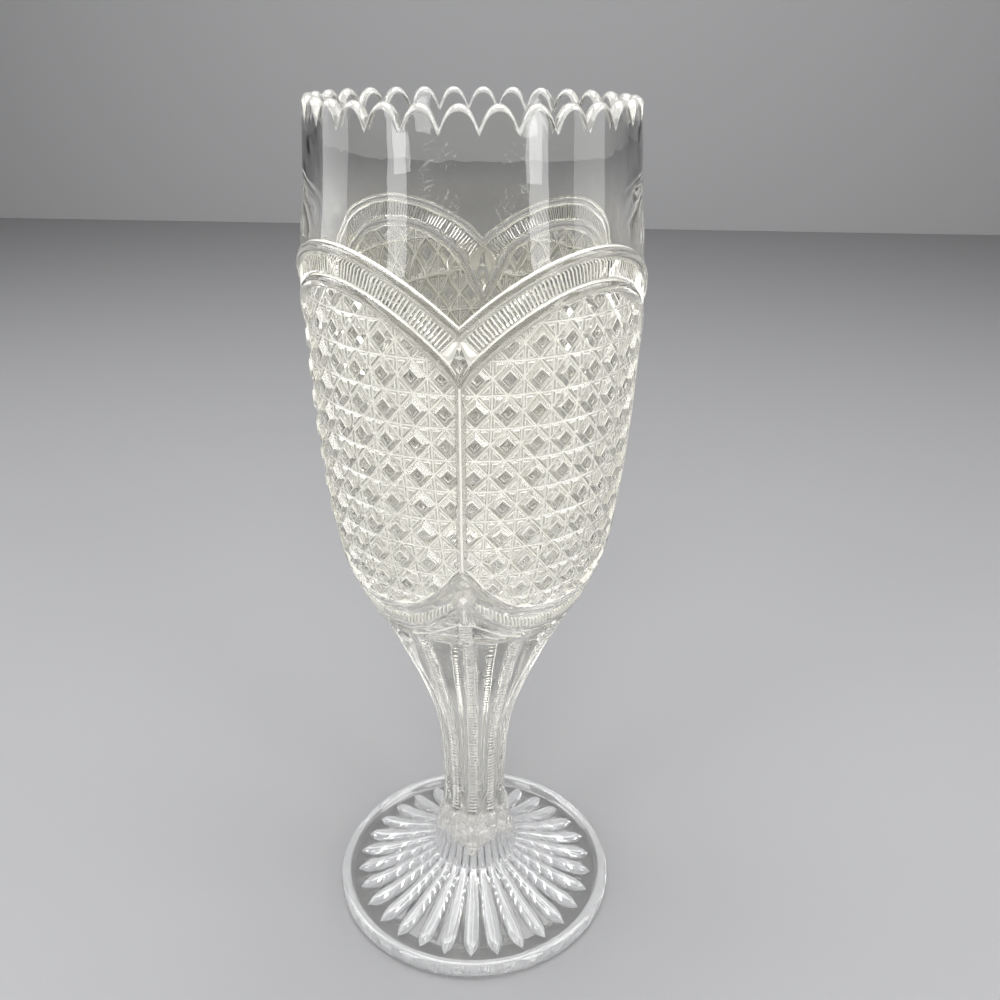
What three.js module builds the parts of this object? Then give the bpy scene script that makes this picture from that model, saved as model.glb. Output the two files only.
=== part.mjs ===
// Pressed glass vase: a tall footed flower vase of clear pressed glass.
// Units are millimetres, +Z is up, and the origin is the centre of the flat underside.
// The front of the vase looks along -Y. Angles are measured from the front towards +X.
//
// From the table up: a round rayed foot inside a plain rolled edge, a stem of ten upright
// ribs that opens into the base of the cup, a bowl of four pointed arch panels filled with
// a lattice of small squares on their points, and a plain collar whose top is scalloped.
// The four lengths meet face to face on level planes, where the moulds divide.

import * as THREE from 'three';

// ---------------------------------------------------------------- driving dimensions
const HEIGHT = 250.0;            // to the tips of the scallops
const VALLEY = 244.6;            // bottom of the notch between two scallops
const SCALLOPS = 30;
const COLLAR_Z = 222.0;          // collar on bowl
const STEM_TOP_Z = 111.0;        // bowl on stem
const STEM_FOOT_Z = 14.0;        // stem on foot
const CAVITY_Z = 107.0;          // lowest point of the inside

const FOOT_R = 45.5;             // foot, outer edge
const FOOT_EDGE_Z = 5.4;         // crest of the rolled edge
const FOOT_FLOOR_Z = 3.4;        // plain ring between the rays and the edge
const RAYS = 30;
const RAY_TIP_R = 39.6;
const RAY_RISE = 1.9;            // crest over groove
const STEM_RIBS = 10;
const STEM_RIB_RISE = 0.9;

const PANELS = 4;
const CELLS = 9;                 // lattice cells across one panel
const CELL_H = 8.33;             // height of a lattice cell
const CELL_Z0 = 187.15;          // level of one row of nodes
const GROOVE = 0.95;             // depth of the lattice grooves
const RIB_HALF_W = 1.5;          // upright rib between panels, half width
const ARCH_APEX_Z = 219.5;       // top edge of an arch, at the middle of its panel
const ARCH_CROSS_Z = 201.5;      // and where two arches cross
const ARCH_POWER = 2.45;
const BAND = 9.2;                // from the arch's top edge to its inner rib
const BEAD_RISE = 0.6;

// Outer radius of the plain body by height, before the pattern (z, r).
const OUTER = [
  [14.0, 14.3], [18.0, 13.2], [23.0, 12.2], [27.5, 11.3], [32.0, 10.45], [37.0, 10.0],
  [42.0, 9.95], [50.0, 10.3], [55.0, 10.5], [60.0, 10.95], [65.0, 11.6], [70.0, 12.55],
  [75.0, 13.95], [80.0, 15.7], [85.0, 17.6], [90.0, 19.8], [95.0, 22.0], [100.0, 24.3],
  [105.0, 26.8], [111.0, 29.7], [112.2, 30.5], [115.0, 31.9], [120.0, 34.3], [125.0, 36.3],
  [130.0, 38.0], [135.0, 39.2], [140.0, 40.2], [150.0, 41.6], [160.0, 42.5], [170.0, 43.3],
  [180.0, 43.8], [190.0, 44.2], [200.0, 44.4], [210.0, 44.6], [216.0, 44.6], [222.0, 43.7],
  [230.0, 42.75], [238.0, 42.0], [244.6, 41.4], [250.0, 41.2],
];
// Inner radius by height (z, r).
const INNER = [
  [107.0, 0.0], [107.3, 4.0], [108.4, 8.8], [111.0, 14.5], [115.0, 20.0], [120.0, 25.3],
  [125.0, 29.3], [130.0, 31.8], [140.0, 34.6], [150.0, 36.2], [160.0, 37.2], [180.0, 38.2],
  [200.0, 38.5], [222.0, 38.5], [238.0, 38.4], [250.0, 38.3],
];

const at = (table, z) => {
  if (z <= table[0][0]) return table[0][1];
  for (let i = 1; i < table.length; i += 1) {
    const [z0, r0] = table[i - 1];
    const [z1, r1] = table[i];
    if (z <= z1) return r0 + ((r1 - r0) * (z - z0)) / (z1 - z0);
  }
  return table[table.length - 1][1];
};
const outer = (z) => at(OUTER, z);
const inner = (z) => at(INNER, z);
const TAU = Math.PI * 2;
// Distance from the nearest whole number, 0 to 0.5.
const off = (v) => Math.abs(v - Math.round(v));

// ---------------------------------------------------------------- turned body with relief
// A lathe body whose closed profile is a list of rows. Each row gives (r, z) and may give
// shape(theta) -> [r, z], which lays relief round it.
function turned(rows, segments) {
  const profile = rows.map((row) => new THREE.Vector2(row.r, row.z));
  const geometry = new THREE.LatheGeometry(profile, segments);
  geometry.rotateX(Math.PI / 2);
  const position = geometry.getAttribute('position');
  const count = rows.length;
  for (let i = 0; i < position.count; i += 1) {
    const row = rows[i % count];
    if (!row.shape) continue;
    const step = Math.floor(i / count) % segments;
    const theta = (TAU * step) / segments;
    const [r, z] = row.shape(theta, step);
    position.setXYZ(i, r * Math.sin(theta), -r * Math.cos(theta), z);
  }
  geometry.computeVertexNormals();
  return geometry;
}

function glass(colour) {
  return new THREE.MeshStandardMaterial({
    color: new THREE.Color(...colour), roughness: 0.05, metalness: 0.0,
    transparent: true, opacity: 0.35, side: THREE.FrontSide,
  });
}

// ---------------------------------------------------------------- foot
// Flat underside, rolled plain edge, and thirty rounded rays that run down from the stem
// and end in blunt noses inside the edge.
function footGeometry() {
  const crest = [[15.2, 13.5], [20.0, 11.4], [26.0, 8.9], [32.0, 6.7], [36.5, 5.3]];
  const rows = [
    { r: 0, z: 0 }, { r: 44.9, z: 0 }, { r: FOOT_R, z: 0.8 }, { r: FOOT_R, z: 4.0 },
    { r: 44.7, z: 5.1 }, { r: 43.3, z: FOOT_EDGE_Z }, { r: 42.0, z: 4.9 },
    { r: 41.3, z: FOOT_FLOOR_Z }, { r: RAY_TIP_R, z: FOOT_FLOOR_Z },
  ];
  const ray = (theta) => 1 - 2 * off((theta * RAYS) / TAU + 0.5); // 1 on a crest, 0 in a groove
  for (const [r, z] of crest.slice().reverse()) {
    rows.push({
      r, z, shape: (theta) => [r, Math.max(FOOT_FLOOR_Z, z + 0.6 - RAY_RISE * (1 - ray(theta)))],
    });
  }
  rows.push({ r: 14.3, z: STEM_FOOT_Z }, { r: 0, z: STEM_FOOT_Z });
  return turned(rows, RAYS * 2);
}

// ---------------------------------------------------------------- stem
// Solid, with ten upright ribs that spread as it opens, and the round bottom of the inside
// sunk in its top.
function stemGeometry() {
  const rows = [{ r: 0, z: STEM_FOOT_Z }, { r: 14.3, z: STEM_FOOT_Z }];
  const levels = [18, 23, 27.5, 32, 37, 44, 52, 60, 67, 74, 81, 88, 96, 104];
  const rib = (theta) => Math.cos(theta * STEM_RIBS);
  for (const z of levels) {
    const r = outer(z);
    const fade = Math.min(1, (z - 14) / 20);
    rows.push({ r, z, shape: (theta) => [r - (STEM_RIB_RISE * fade * (1 - rib(theta))) / 2, z] });
  }
  rows.push({ r: outer(STEM_TOP_Z), z: STEM_TOP_Z }, { r: inner(STEM_TOP_Z), z: STEM_TOP_Z });
  for (const z of [108.4, 107.3, CAVITY_Z]) rows.push({ r: inner(z), z });
  return turned(rows, STEM_RIBS * 4);
}

// ---------------------------------------------------------------- bowl
// Angle from the nearest upright rib in degrees, 0 to 45.
const fromRib = (theta) => off((theta * PANELS) / TAU) * (360 / PANELS);
const archTop = (deg) =>
  ARCH_CROSS_Z + (ARCH_APEX_Z - ARCH_CROSS_Z) * (1 - Math.abs(1 - deg / 45) ** ARCH_POWER);
const archFoot = (deg) => 127.0 - 12.0 * (1 - Math.abs(1 - deg / 45) ** 2.0);

function bowlGeometry() {
  const halfColumns = PANELS * CELLS * 2;
  const rows = [{ r: outer(STEM_TOP_Z), z: STEM_TOP_Z }, { r: 30.5, z: 112.2 }];
  const levels = [116];
  for (let n = -16; n <= 5; n += 1) levels.push(CELL_Z0 + (n * CELL_H) / 2);
  levels.push(211.6, 214.6, 217.2, 219.6);
  for (const z of levels) {
    const r = outer(z);
    const n = Math.round((z - CELL_Z0) / (CELL_H / 2));
    rows.push({
      r,
      z,
      shape: (theta, step) => {
        const deg = fromRib(theta);
        const slope = (archTop(deg + 1) - archTop(deg - 1)) / (2 * outer(z) * (Math.PI / 180));
        const across = 1 / Math.hypot(1, slope);
        const below = (archTop(deg) - z) * across;          // under the arch's top edge
        const above = (z - archFoot(deg)) * 1.2;            // over the lower arch's edge
        if (below < 0.3) return [r, z];                     // plain collar surface
        if (below < 3.4) return [r + BEAD_RISE, z];         // outer bead
        if (below < BAND - 1.2 || (above > 2 && above < 6)) return [r - 0.5, z];
        if (below < BAND + 1.2) return [r + 0.3, z];        // inner rib
        if (above <= 2) return [r, z];
        if (above < 9) return [r + 0.2, z];
        if (deg * r * (Math.PI / 180) < RIB_HALF_W) return [r + 0.2, z];
        return [r - ((n + step) % 2 === 0 ? 0 : GROOVE), z]; // lattice nodes are low
      },
    });
  }
  rows.push({ r: outer(COLLAR_Z), z: COLLAR_Z }, { r: inner(COLLAR_Z), z: COLLAR_Z });
  for (const z of [180, 160, 150, 140, 130, 125, 120, 115]) rows.push({ r: inner(z), z });
  rows.push({ r: inner(STEM_TOP_Z), z: STEM_TOP_Z });
  rows.push({ r: outer(STEM_TOP_Z), z: STEM_TOP_Z });
  return turned(rows, halfColumns);
}

// ---------------------------------------------------------------- collar
// Plain, drawn in towards the top, cut at the lip into thirty rounded points.
function collarGeometry() {
  const phase = (theta) => off((theta * SCALLOPS) / TAU) * 2;  // 0 on a point, 1 in a notch
  const lip = (theta) => HEIGHT - (HEIGHT - VALLEY) * phase(theta) ** 1.5;
  const mid = (outer(HEIGHT) + inner(HEIGHT)) / 2;
  const rows = [
    { r: outer(COLLAR_Z), z: COLLAR_Z }, { r: outer(230), z: 230 }, { r: outer(239), z: 239 },
    { r: outer(246), z: 246, shape: (t) => [outer(lip(t) - 1.4), lip(t) - 1.4] },
    { r: mid, z: HEIGHT, shape: (t) => [mid, lip(t)] },
    { r: inner(246), z: 246, shape: (t) => [inner(lip(t) - 1.4), lip(t) - 1.4] },
    { r: inner(239), z: 239 }, { r: inner(COLLAR_Z), z: COLLAR_Z },
    { r: outer(COLLAR_Z), z: COLLAR_Z },
  ];
  return turned(rows, SCALLOPS * 4);
}

// ---------------------------------------------------------------- assembly
const group = new THREE.Group();
function add(name, geometry, colour) {
  const mesh = new THREE.Mesh(geometry, glass(colour));
  mesh.name = name;
  group.add(mesh);
}
add('foot', footGeometry(), [0.93, 0.94, 0.94]);
add('stem', stemGeometry(), [0.94, 0.94, 0.92]);
add('bowl', bowlGeometry(), [0.95, 0.95, 0.93]);
add('rim_collar', collarGeometry(), [0.94, 0.95, 0.95]);

export default group;
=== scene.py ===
import math

import bpy
import numpy as np
from mathutils import Matrix, Vector
from mathutils.geometry import delaunay_2d_cdt


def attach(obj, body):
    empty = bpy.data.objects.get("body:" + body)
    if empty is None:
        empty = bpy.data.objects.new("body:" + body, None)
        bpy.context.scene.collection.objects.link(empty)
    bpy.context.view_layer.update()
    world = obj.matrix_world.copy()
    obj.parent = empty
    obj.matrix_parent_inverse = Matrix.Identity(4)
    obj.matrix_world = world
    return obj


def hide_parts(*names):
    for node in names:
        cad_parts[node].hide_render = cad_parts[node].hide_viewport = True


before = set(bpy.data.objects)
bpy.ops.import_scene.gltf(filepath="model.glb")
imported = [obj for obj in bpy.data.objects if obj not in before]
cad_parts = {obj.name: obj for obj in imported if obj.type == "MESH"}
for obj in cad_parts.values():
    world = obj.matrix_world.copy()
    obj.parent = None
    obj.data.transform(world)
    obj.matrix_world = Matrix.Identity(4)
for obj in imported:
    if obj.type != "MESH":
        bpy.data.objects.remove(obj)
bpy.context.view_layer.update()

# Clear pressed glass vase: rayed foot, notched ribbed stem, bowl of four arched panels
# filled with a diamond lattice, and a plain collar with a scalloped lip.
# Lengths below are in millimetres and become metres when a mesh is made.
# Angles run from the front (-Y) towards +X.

TAU = 2 * math.pi
QUARTER = math.pi / 4


# ------------------------------------------------------------------ small numeric helpers
def smooth_table(pairs):
    """A monotone cubic through (x, y) pairs, as a function of an array."""
    xs = np.array([p[0] for p in pairs], float)
    ys = np.array([p[1] for p in pairs], float)
    h = np.diff(xs)
    d = np.diff(ys) / h
    m = np.zeros_like(ys)
    for i in range(1, len(xs) - 1):
        if d[i - 1] * d[i] > 0:
            w1, w2 = 2 * h[i] + h[i - 1], h[i] + 2 * h[i - 1]
            m[i] = (w1 + w2) / (w1 / d[i - 1] + w2 / d[i])
    m[0], m[-1] = d[0], d[-1]

    def f(x):
        x = np.asarray(x, float)
        i = np.clip(np.searchsorted(xs, x) - 1, 0, len(xs) - 2)
        t = (x - xs[i]) / h[i]
        low, high = t < 0, t > 1
        t = np.clip(t, 0, 1)
        y = ((1 + 2 * t) * (1 - t) ** 2 * ys[i] + t * (1 - t) ** 2 * h[i] * m[i]
             + t * t * (3 - 2 * t) * ys[i + 1] + t * t * (t - 1) * h[i] * m[i + 1])
        y = np.where(low, ys[0] + m[0] * (x - xs[0]), y)
        return np.where(high, ys[-1] + m[-1] * (x - xs[-1]), y)
    return f


def dome(u):
    """Half-round section: 1 at u = 0, 0 at |u| = 1."""
    return np.sqrt(np.clip(1 - np.asarray(u, float) ** 2, 0, 1))


def soft(x, lo, hi):
    """0 below lo, 1 above hi, smooth between."""
    t = np.clip((np.asarray(x, float) - lo) / (hi - lo), 0, 1)
    return t * t * (3 - 2 * t)


# ------------------------------------------------------------------ profiles, (z, r) in mm
FOOT_TOP, STEM_TOP, COLLAR_Z = 14.0, 111.0, 222.0
HEIGHT, VALLEY = 250.0, 244.7

PLATEAU = smooth_table([
    (111, 29.66), (115, 31.9), (120, 34.3), (125, 36.3), (130, 37.95), (135, 39.25), (140, 40.25),
    (145, 41.0), (150, 41.6), (160, 42.5), (170, 43.3), (180, 43.8), (190, 44.2), (200, 44.45),
    (208, 44.6), (214, 44.55), (218, 44.3), (222, 43.85), (226, 43.4)])
COLLAR = smooth_table([
    (200, 43.85), (208, 44.0), (214, 43.95), (218, 43.7), (222, 43.25), (226, 42.8), (231, 42.35),
    (238, 41.9), (244, 41.6), (250, 41.45)])
INNER = smooth_table([
    (107.0, 0.5), (107.3, 4.0), (108.4, 8.8), (111, 14.5), (115, 20.0), (120, 25.3), (125, 29.3), (130, 31.8),
    (140, 34.6), (150, 36.2), (160, 37.2), (180, 38.2), (200, 38.5), (222, 38.5), (238, 38.4), (250, 38.3)])
STEM = smooth_table([
    (14.0, 14.3), (15, 13.7), (16, 13.2), (18, 12.55), (20, 12.1), (23, 11.65), (27.5, 11.05), (32, 10.5), (37, 10.1), (42, 10.0),
    (50, 10.3), (55, 10.55), (60, 10.95), (65, 11.6), (70, 12.6), (75, 14.0), (80, 15.75),
    (85, 17.65), (90, 19.8), (95, 22.0), (100, 24.3), (105, 26.8), (111, 29.55)])
BASE_DROP = 0.6


# ------------------------------------------------------------------ meshes
def to_object(name, verts_mm, faces, slots, materials, sharp_deg):
    """A mesh object from vertices in mm, with the material slot of each face."""
    mesh = bpy.data.meshes.new(name)
    mesh.from_pydata([tuple(v) for v in np.asarray(verts_mm, float) * 0.001], [], faces)
    for m in materials:
        mesh.materials.append(m)
    mesh.polygons.foreach_set("material_index", np.array(slots, np.int32))
    mesh.polygons.foreach_set("use_smooth", np.ones(len(mesh.polygons), bool))
    mesh.update()
    mesh.validate()
    mesh.set_sharp_from_angle(angle=math.radians(sharp_deg))
    obj = bpy.data.objects.new(name, mesh)
    bpy.context.scene.collection.objects.link(obj)
    weighted = obj.modifiers.new("weighted", "WEIGHTED_NORMAL")
    weighted.mode = "FACE_AREA"
    weighted.weight = 80
    weighted.keep_sharp = True
    return obj


class Skin:
    """Collects vertices, faces and face slots, and welds vertices that share a place."""

    def __init__(self):
        self.verts, self.faces, self.slots, self.count = [], [], [], 0

    def add(self, verts):
        start = self.count
        verts = np.asarray(verts, float).reshape(-1, 3)
        self.verts.append(verts)
        self.count += len(verts)
        return start

    def face(self, ids, slot=0):
        self.faces.append(tuple(int(i) for i in ids))
        self.slots.append(slot)

    def grid(self, rows, slot=0, closed=True):
        """rows: list of (n, 3) rings, all of n points. Faces point out when each next row is
        higher on an outside wall and points run from the front towards +X."""
        n = len(rows[0])
        starts = [self.add(r) for r in rows]
        for a, b in zip(starts[:-1], starts[1:]):
            for i in range(n if closed else n - 1):
                j = (i + 1) % n
                self.face((a + i, a + j, b + j, b + i), slot)
        return starts

    def stitch(self, ring_a, ring_b, slot=0):
        """Joins two rings of (start, points) of unequal number, both sorted by angle."""
        (sa, pa), (sb, pb) = ring_a, ring_b
        na, nb = len(pa), len(pb)
        ta = np.unwrap(np.arctan2(pa[:, 0], -pa[:, 1]))
        tb = np.unwrap(np.arctan2(pb[:, 0], -pb[:, 1]))
        ta = ta + TAU * round((tb[0] - ta[0]) / TAU)
        i = j = 0
        while i < na or j < nb:
            next_a = ta[i + 1] if i + 1 < na else ta[0] + TAU if i < na else 1e9
            next_b = tb[j + 1] if j + 1 < nb else tb[0] + TAU if j < nb else 1e9
            if i < na and (j >= nb or next_a <= next_b):
                self.face((sa + i % na, sa + (i + 1) % na, sb + j % nb), slot)
                i += 1
            else:
                self.face((sa + i % na, sb + (j + 1) % nb, sb + j % nb), slot)
                j += 1

    def build(self, name, materials, sharp_deg):
        verts = np.concatenate(self.verts)
        key = np.round(verts * 2000).astype(np.int64)
        _, first, inverse = np.unique(key, axis=0, return_index=True, return_inverse=True)
        inverse = inverse.reshape(-1)
        verts = verts[first]
        faces, slots = [], []
        for f, s in zip(self.faces, self.slots):
            g = [int(inverse[i]) for i in f]
            g = [v for k, v in enumerate(g) if v != g[k - 1]]
            if len(set(g)) >= 3:
                faces.append(tuple(g))
                slots.append(s)
        used = np.unique(np.concatenate([np.array(f) for f in faces]))
        remap = np.full(len(verts), -1)
        remap[used] = np.arange(len(used))
        faces = [tuple(int(remap[i]) for i in f) for f in faces]
        obj = to_object(name, verts[used], faces, slots, materials, sharp_deg)
        return obj


def ring(r, z, theta):
    r = np.broadcast_to(np.asarray(r, float), theta.shape)
    z = np.broadcast_to(np.asarray(z, float), theta.shape)
    return np.stack([r * np.sin(theta), -r * np.cos(theta), z], 1)


# ------------------------------------------------------------------ bowl: the pattern
# One half panel is worked out flat: s is the distance in mm round the bowl from the middle
# of the panel, x the distance from the upright rib, and z the height.
HALF_COL, HALF_ROW, ROW_Z = 3.85, 4.165, 187.15
MOULD_W, RIB_IN, RIB_OUT = 2.6, 7.7, 10.6
RIB_W = 1.15
WALL = 0.15


def half_width(z):
    return PLATEAU(z) * QUARTER


def arch_z(phi):
    """Top edge of the arch by angle from the rib in degrees."""
    return 219.5 - 16.0 * np.abs(1 - np.clip(phi, -20, 45) / 45) ** 2.07


def arch_curve():
    phi = np.concatenate([np.linspace(-12, 45, 400), np.linspace(45.2, 58, 40)])
    z = np.where(phi <= 45, arch_z(phi), arch_z(90 - phi))
    s = PLATEAU(z) * np.radians(45 - phi)
    return np.stack([s, z], 1)


ARCH = arch_curve()
ARCH_T = np.concatenate([[0], np.cumsum(np.hypot(*np.diff(ARCH, axis=0).T))])


def arch_distance(s, z):
    """Signed distance below the arch's top edge, and the length along it."""
    p = np.stack([np.asarray(s, float).ravel(), np.asarray(z, float).ravel()], 1)
    a, b = ARCH[:-1], ARCH[1:]
    ab = b - a
    best = np.full(len(p), 1e9)
    sign = np.ones(len(p))
    along = np.zeros(len(p))
    seg_len = np.hypot(ab[:, 0], ab[:, 1])
    for lo in range(0, len(p), 2000):
        q = p[lo:lo + 2000]
        t = ((q[:, None, :] - a[None]) * ab[None]).sum(2) / (seg_len ** 2)[None]
        t = np.clip(t, 0, 1)
        near = a[None] + t[..., None] * ab[None]
        dist = np.hypot(q[:, None, 0] - near[..., 0], q[:, None, 1] - near[..., 1])
        k = dist.argmin(1)
        rows = np.arange(len(q))
        best[lo:lo + 2000] = dist[rows, k]
        cross = ab[k, 0] * (q[:, 1] - a[k, 1]) - ab[k, 1] * (q[:, 0] - a[k, 0])
        sign[lo:lo + 2000] = np.where(cross > 0, 1, -1)
        along[lo:lo + 2000] = ARCH_T[k] + t[rows, k] * seg_len[k]
    return best * sign, along


def arch_offset(d, t):
    """The point at distance d below the top edge, at length t along it."""
    k = np.clip(np.searchsorted(ARCH_T, t) - 1, 0, len(ARCH) - 2)
    u = (t - ARCH_T[k]) / (ARCH_T[k + 1] - ARCH_T[k])
    at = ARCH[k] + (ARCH[k + 1] - ARCH[k]) * np.asarray(u)[..., None]
    kk = np.clip(k + (np.asarray(u) > 0.5), 1, len(ARCH) - 2)
    tan = ARCH[kk + 1] - ARCH[kk - 1]
    tan = tan / np.hypot(tan[..., 0], tan[..., 1])[..., None]
    normal = np.stack([-tan[..., 1], tan[..., 0]], -1)
    return at + normal * np.asarray(d)[..., None]


# Lower arches, by distance x from the rib.
LOW_RIB = smooth_table([(0, 138.9), (1.6, 137.0), (4.5, 133.1), (8, 129.3), (12, 126.0),
                        (16, 124.3), (20, 123.6), (26, 123.2), (36, 123.1)])
LOW_LADDER_TOP = smooth_table([(0, 130.6), (4.5, 127.4), (8, 125.0), (11, 122.9), (13, 121.7),
                               (16, 120.5), (20, 119.9), (26, 119.6), (36, 119.5)])
LOW_LADDER_END = smooth_table([(0, 128.3), (4.2, 124.9), (7.8, 121.5), (10, 119.5), (12, 118.2),
                               (16, 116.8), (20, 116.2), (26, 115.9), (36, 115.8)])
LOW_MOULD_END = smooth_table([(0, 124.9), (3.4, 122.3), (7.8, 118.4), (11.8, 115.3),
                              (16, 113.6), (20, 113.1), (26, 112.9), (36, 112.9)])
LOW_LINE = smooth_table([(0, 121.0), (1.0, 120.3), (4, 118.3), (8.6, 115.3), (11.4, 113.7),
                         (14, 112.7), (18, 111.6), (36, 108.0)])
LOW_HALF = 1.3


def slope_cos(table, x):
    g = (table(np.asarray(x) + 0.05) - table(np.asarray(x) - 0.05)) / 0.1
    return 1 / np.sqrt(1 + g * g)


SLOPE = 1.12                      # tangent of the facets' slope
BUTTON = 0.53                     # flat part of a square, as a share of the cell
ROUND, EASE = 0.2, 0.1            # half widths of rounded grooves and rounded edges
STAR_TOP = 0.66                   # inset of the small flat triangles
SINK_OUT, SINK_IN, SINK = 0.31, 0.23, 0.2   # smaller square sunk in each button: sizes and depth
CELL_D = HALF_COL * HALF_ROW / math.hypot(HALF_COL, HALF_ROW)
BUTTON_D = (1 - BUTTON) * CELL_D


def groove(d):
    """Distance from a groove's line, rounded near the line."""
    d = np.abs(d)
    return np.where(d < ROUND, d * d / (2 * ROUND) + ROUND / 2, d)


def eased_min(a, b):
    return np.minimum(a, b) - np.maximum(EASE * 2 - np.abs(a - b), 0) ** 2 / (8 * EASE)


def lattice(s, z):
    """Height of the diamond field: V grooves through the nodes, flat-topped squares over
    and under each main node, and four small triangles in every other square."""
    a, b = np.asarray(s) / HALF_COL, (np.asarray(z) - ROW_Z) / HALF_ROW
    ra, rb = np.round(a), np.round(b)
    # nearest cell centre: a + b odd
    odd = (ra + rb) % 2 == 1
    da, db = a - ra, b - rb
    alt_a = ra + np.where(np.abs(da) >= np.abs(db), np.where(da >= 0, 1, -1), 0)
    alt_b = rb + np.where(np.abs(da) >= np.abs(db), 0, np.where(db >= 0, 1, -1))
    ca, cb = np.where(odd, ra, alt_a), np.where(odd, rb, alt_b)
    p, q = np.abs(a - ca), np.abs(b - cb)
    side = (1 - np.clip(p + q, 0, 1)) * CELL_D
    button = np.round(cb) % 2 == 1
    high = eased_min(groove(side), BUTTON_D)
    high = high - SINK / SLOPE * np.clip((side / CELL_D - (1 - SINK_OUT)) / (SINK_OUT - SINK_IN), 0, 1)
    lx, ly = p * HALF_COL, q * HALF_ROW
    star = np.minimum(np.minimum(groove(lx), groove(ly)), groove(side))
    star = eased_min(star, STAR_TOP)
    return BASE_DROP + SLOPE * (np.where(button, high, star) - BUTTON_D)


def on_line(s, z):
    """Points of the diamond field on a groove or rounded edge, and on a flat top."""
    a, b = np.asarray(s) / HALF_COL, (np.asarray(z) - ROW_Z) / HALF_ROW
    ra, rb = np.round(a), np.round(b)
    odd = (ra + rb) % 2 == 1
    da, db = a - ra, b - rb
    alt_a = ra + np.where(np.abs(da) >= np.abs(db), np.where(da >= 0, 1, -1), 0)
    alt_b = rb + np.where(np.abs(da) >= np.abs(db), 0, np.where(db >= 0, 1, -1))
    ca, cb = np.where(odd, ra, alt_a), np.where(odd, rb, alt_b)
    p, q = np.abs(a - ca), np.abs(b - cb)
    side = (1 - np.clip(p + q, 0, 1)) * CELL_D
    button = np.round(cb) % 2 == 1
    near = np.where(button, side, np.minimum(side, np.minimum(p * HALF_COL, q * HALF_ROW)))
    rim = np.abs(near - np.where(button, BUTTON_D, STAR_TOP)) < EASE
    flat = button & (near > BUTTON_D + EASE)
    sunk = button & (side > CELL_D * (1 - SINK_OUT)) & (side < CELL_D * (1 - SINK_IN))
    return (near < ROUND) | rim, flat & ~sunk


# Small facets where two arches cross: points (x, z, height) and the edges between them.
CROSS_POINTS = {
    "star": (0.0, 200.7, 1.05), "p1": (1.25, 198.75, 0.95), "p2": (2.35, 197.0, 0.95), "p3": (3.5, 195.3, 1.0),
    "o1": (1.5, 200.15, 0.05), "o2": (3.0, 198.75, 0.0), "o3": (4.25, 197.15, 0.05), "o4": (4.75, 195.9, 0.3),
    "i1": (0.5, 198.7, 0.05), "i2": (1.3, 196.5, 0.0), "i3": (2.15, 194.6, 0.15),
    "n0": (0.0, 199.3, 0.35), "n1": (0.0, 198.4, 0.75), "n2": (0.0, 196.9, 0.7), "k": (0.0, 196.35, -0.1),
    "z0": (0.0, 196.1, 0.3), "z1": (1.55, 194.0, 0.2), "z2": (0.0, 191.9, 0.3),
    "y0": (0.0, 195.35, 0.75), "y1": (0.85, 194.05, 0.75), "y2": (0.0, 192.75, 0.75),
    "m0": (0.0, 194.8, 0.35), "m1": (0.4, 194.05, 0.35), "m2": (0.0, 193.3, 0.35),
}
CROSS_EDGES = [
    ("star", "p1"), ("p1", "p2"), ("p2", "p3"), ("star", "o1"), ("o1", "o2"), ("o2", "o3"), ("o3", "o4"),
    ("star", "n0"), ("n0", "i1"), ("star", "i1"), ("i1", "i2"), ("i2", "i3"), ("n0", "n1"), ("n1", "n2"), ("n2", "k"),
    ("z0", "z1"), ("z1", "z2"), ("y0", "y1"), ("y1", "y2"), ("m0", "m1"), ("m1", "m2"), ("i2", "z0"), ("i2", "z1"),
]
LOW_POINTS = {
    "a0": (0.0, 136.4, 0.5), "a1": (0.0, 132.9, 0.85), "d0": (0.0, 132.4, 0.75), "d1": (1.75, 129.6, 0.75),
    "d2": (0.0, 127.0, 0.8), "c": (0.0, 129.7, 0.1), "e0": (0.0, 131.4, 0.45), "e1": (1.15, 129.65, 0.45),
    "e2": (0.0, 128.0, 0.45), "f1": (1.3, 132.2, -0.25), "f2": (3.4, 129.4, -0.2), "f3": (2.0, 127.5, 0.0),
}
LOW_EDGES = [
    ("a0", "a1"), ("a1", "d0"), ("d0", "d1"), ("d1", "d2"), ("e0", "e1"), ("e1", "e2"), ("e0", "c"), ("e1", "c"),
    ("e2", "c"), ("a1", "f1"), ("f1", "f2"), ("d1", "f2"), ("d1", "f3"),
]


PETAL = [CROSS_POINTS[k][:2] for k in ("star", "o1", "o2", "o3", "o4", "p3", "i3", "i2", "i1")]
LOZENGE = [(0, 195.35), (0.85, 194.05), (0, 192.75), (-0.85, 194.05)]
LOZENGE_IN = [(0, 194.8), (0.4, 194.05), (0, 193.3), (-0.4, 194.05)]
SMALL_LOZENGE = [(0, 131.4), (1.15, 129.65), (0, 128.0), (-1.15, 129.65)]


def inside(polygon, x, z):
    """Even-odd test of points against a polygon."""
    hit = np.zeros(np.shape(x), bool)
    for (x0, z0), (x1, z1) in zip(polygon, polygon[1:] + polygon[:1]):
        if z0 == z1:
            continue
        cross = x0 + (z - z0) / (z1 - z0) * (x1 - x0)
        hit ^= ((z0 > z) != (z1 > z)) & (x < cross)
    return hit


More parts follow.
